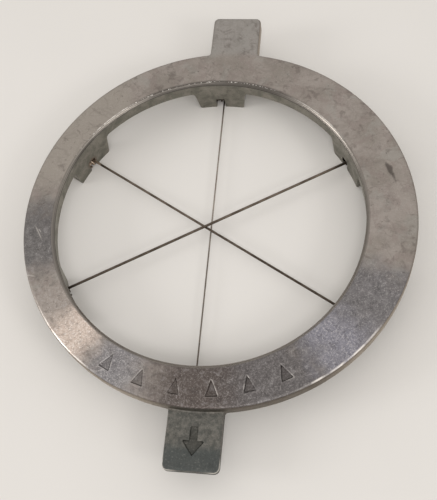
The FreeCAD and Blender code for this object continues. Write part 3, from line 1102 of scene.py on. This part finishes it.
def cast_metal():
    """The as-cast skin: dull, darkest on the front tab, with painted shade and rust in some slots."""
    f = Finish("cast_metal", 1.0, 0.6)
    blotch = f.noise(3.5, 4, 0.6, warp=0.5)
    grain = f.noise(0.42, 3, 0.65)
    f.colour = f.mix(f.ramp(blotch, 0.32, 0.68), CAST_DARK, CAST_LIGHT)
    cast_wall(f)
    f.lay(f.ramp(f.y, *FRONT_TAB_START, 0, 0.95), front_tab_skin(f, blotch))
    f.lay(f.ramp(grain, 0.55, 0.72, 0, 0.25), CAST_GRAIN_LIGHT)
    f.lay(f.ramp(grain, 0.46, 0.3, 0, 0.4), CAST_GRAIN_DARK)
    slot_shade_and_rust(f)
    normal = f.bump(f.noise(1.6, 3, 0.55), 0.05)
    normal = f.bump(grain, 0.04, normal)
    return f.finish(normal, f.ramp(blotch, 0.3, 0.7, 0.64, 0.5))


# Steel of the wires and pins: its colours, and where the wires darken towards the front and their lugs
DARK_WIRE = (linear(84, 74, 65), linear(112, 101, 90))
CLEAN_WIRE = (linear(140, 130, 121), linear(168, 159, 149))
WIRE_FLECK = linear(84, 60, 44)
WIRE_FRONT_DARK = linear(50, 42, 35)
WIRE_END_DARK = linear(52, 45, 39)
WIRE_METAL = linear(186, 168, 150)
WIRE_FRONT_START = (8, -12)
WIRE_END_START = (HOLE_RADIUS - 5, HOLE_RADIUS)
PIN_METAL = linear(196, 184, 170)
PIN_RUST = linear(138, 100, 72)
PIN_DARK_RUST = linear(84, 56, 40)
PIN_BLACK_DEEP = linear(44, 39, 35)
PIN_BLACK_PALE = linear(66, 57, 49)


def wire_steel(name, dark, light):
    """Drawn wire between two shades: flecked, darker at the front and at its ends, and bare by the rust."""
    f = Finish(name, 1.0, 0.38)
    patch = f.noise(3.0, 3, 0.6)
    f.colour = f.mix(f.ramp(patch, 0.35, 0.65), dark, light)
    fleck = f.ramp(f.noise(0.5, 2, 0.6), 0.58, 0.7, 0, 0.5)
    f.lay(fleck, WIRE_FLECK)
    f.lay(f.ramp(f.y, *WIRE_FRONT_START, 0, 0.45), WIRE_FRONT_DARK)
    f.lay(f.ramp(f.distance_from(HOLE), *WIRE_END_START, 0, 0.85), WIRE_END_DARK)
    f.lay(f.near(RUST_PLACE, BARE_WIRE_REACH), WIRE_METAL)
    normal = f.bump(f.noise(0.25, 2, 0.5), 0.006)
    return f.finish(normal, f.ramp(patch, 0.3, 0.7, 0.32, 0.48))


def pin_steel():
    """Plain steel, nearly black, but rusty and partly rubbed bright in one slot."""
    f = Finish("pin_steel", 0.8, 0.5)
    patch = f.noise(0.9, 3, 0.65, warp=0.6)
    f.colour = f.mix(f.ramp(patch, 0.45, 0.65), PIN_METAL, PIN_RUST)
    f.lay(f.ramp(f.noise(0.3, 2, 0.6), 0.58, 0.72, 0, 0.6), PIN_DARK_RUST)
    nearly_black = f.mix(patch, PIN_BLACK_DEEP, PIN_BLACK_PALE)
    f.colour = f.mix(f.near(RUST_PLACE, BARE_PIN_REACH), nearly_black, f.colour)
    normal = f.bump(f.noise(0.3, 3, 0.6), 0.02)
    return f.finish(normal, f.ramp(patch, 0.35, 0.65, 0.4, 0.7))


def dress(piece, node, slot, crease, *materials):
    """Puts a piece in the place of a CAD node, with its materials and its sharp edges. Its slot is not used.
    """
    piece.data.materials.clear()
    for material in materials:
        piece.data.materials.append(material)
    piece.data.shade_smooth()
    piece.data.set_sharp_from_angle(angle=math.radians(crease))
    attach(piece, "root")
    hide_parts(node)


# How far the ground finish reaches out from the hole with the chamfer, and down into marks and wear
CHAMFER_REACH = 1.0
WEAR_REACH = 0.5


def lay_ground_finish(casting):
    """Gives the top and the chamfer the ground finish, and the rest the cast one."""
    data = casting.data
    centres = np.zeros(len(data.polygons) * 3)
    data.polygons.foreach_get("center", centres)
    x, y, z = centres.reshape(-1, 3).T / MM
    by_hole = np.hypot(x - HOLE[0], y - HOLE[1]) < HOLE_RADIUS + CHAMFER_REACH
    ground = z > TOP - np.where(by_hole, HOLE_CHAMFER + TOP_WAVE, TOP_EDGE_ROUND / 3)
    marked = np.hypot(x - RIM_AXIS[0], y - RIM_AXIS[1]) < RIM_RADIUS - TOP_EDGE_ROUND
    ground |= marked & (z > TOP - WEAR_REACH)
    data.polygons.foreach_set("material_index", np.where(ground, 0, 1).astype(np.int32))


def build():
    """The dressed pieces, each of which replaces one CAD node."""
    casting = ring_casting()
    dress(casting, "ring_frame", "casting", CASTING_CREASE, ground_metal(), cast_metal())
    lay_ground_finish(casting)
    dark_wire = wire_steel("dark_wire", *DARK_WIRE)
    clean_wire = wire_steel("clean_wire", *CLEAN_WIRE)
    pin_finish = pin_steel()
    for wire in WIRES:
        steel = dark_wire if wire.over else clean_wire
        dress(cutting_wire(wire), wire.name, "wire", WIRE_CREASE, steel)
    for held in ANCHORS:
        dress(cross_pin(held), held.pin, "pin", PIN_CREASE, pin_finish)


# Floor: its reach to each side and its colours
FLOOR_REACH = 2000.0
FLOOR_DARK = linear(216, 212, 207)
FLOOR_LIGHT = linear(222, 218, 213)


def floor_finish():
    """A plain pale floor."""
    f = Finish("floor", 0.0, 0.9)
    f.colour = f.mix(f.noise(60.0), FLOOR_DARK, FLOOR_LIGHT)
    return f.finish(f.bump(f.noise(1.5), 0.01))


def add_floor():
    """The floor under the lugs."""
    corners = FLOOR_REACH * np.array(((-1, -1, 0), (1, -1, 0), (1, 1, 0), (-1, 1, 0)))
    floor = make_object("floor", corners, [(0, 1, 2, 3)])
    floor.data.materials.append(floor_finish())


# Studio: its colour and its strength from below and from above, and the lamps, in metres and watts
STUDIO_COLOUR = (1.0, 0.985, 0.965, 1.0)
STUDIO_BELOW = 0.42
STUDIO_ABOVE = 1.04
Lamp = namedtuple("Lamp", "name place size power")
LAMPS = (
    Lamp("overhead", (0.1, -0.5, 0.85), 0.25, 1.3),
    Lamp("left", (-0.8, -0.2, 0.38), 0.25, 1.6),
    Lamp("right", (0.66, -0.4, 0.55), 0.22, 1.0),
)


def add_lamp(lamp):
    """A soft square lamp that looks at the ring."""
    light = bpy.data.lights.new(lamp.name, "AREA")
    light.size = lamp.size
    light.energy = lamp.power
    made = bpy.data.objects.new(lamp.name, light)
    made.location = lamp.place
    made.rotation_mode = "QUATERNION"
    made.rotation_quaternion = (-Vector(lamp.place)).to_track_quat("-Z", "Y")
    bpy.context.scene.collection.objects.link(made)


def add_lights():
    """An even studio that is brighter above, with three soft lamps."""
    world = bpy.data.worlds.new("studio")
    world.use_nodes = True
    nodes, links = world.node_tree.nodes, world.node_tree.links
    background = nodes["Background"]
    background.inputs["Color"].default_value = STUDIO_COLOUR
    split = nodes.new("ShaderNodeSeparateXYZ")
    links.new(nodes.new("ShaderNodeTexCoord").outputs["Generated"], split.inputs[0])
    level = nodes.new("ShaderNodeMapRange")
    level.inputs["To Min"].default_value = STUDIO_BELOW
    level.inputs["To Max"].default_value = STUDIO_ABOVE
    links.new(split.outputs["Z"], level.inputs["Value"])
    links.new(level.outputs["Result"], background.inputs["Strength"])
    bpy.context.scene.world = world
    for lamp in LAMPS:
        add_lamp(lamp)


# Camera: its tilts about X, Y and Z in turn, and its place and nearest sight in metres
CAMERA_TILTS = (-0.43767, -0.10993, -0.09721)
CAMERA_PLACE = (0.031448, -0.097373, 0.203960)
CAMERA_LENS = 61.2
CAMERA_NEAREST = 0.01


def add_camera():
    """The camera, at the photo's viewing angle."""
    turn = Matrix.Identity(3)
    for axis, tilt in zip("XYZ", CAMERA_TILTS):
        turn = turn @ Matrix.Rotation(tilt, 3, axis)
    camera = bpy.data.objects.new("camera", bpy.data.cameras.new("camera"))
    camera.matrix_world = Matrix.Translation(CAMERA_PLACE) @ turn.transposed().to_4x4()
    camera.data.lens = CAMERA_LENS
    camera.data.clip_start = CAMERA_NEAREST
    bpy.context.scene.collection.objects.link(camera)
    bpy.context.scene.camera = camera


build()
add_floor()
add_lights()
add_camera()
bpy.context.scene.view_settings.view_transform = "Standard"
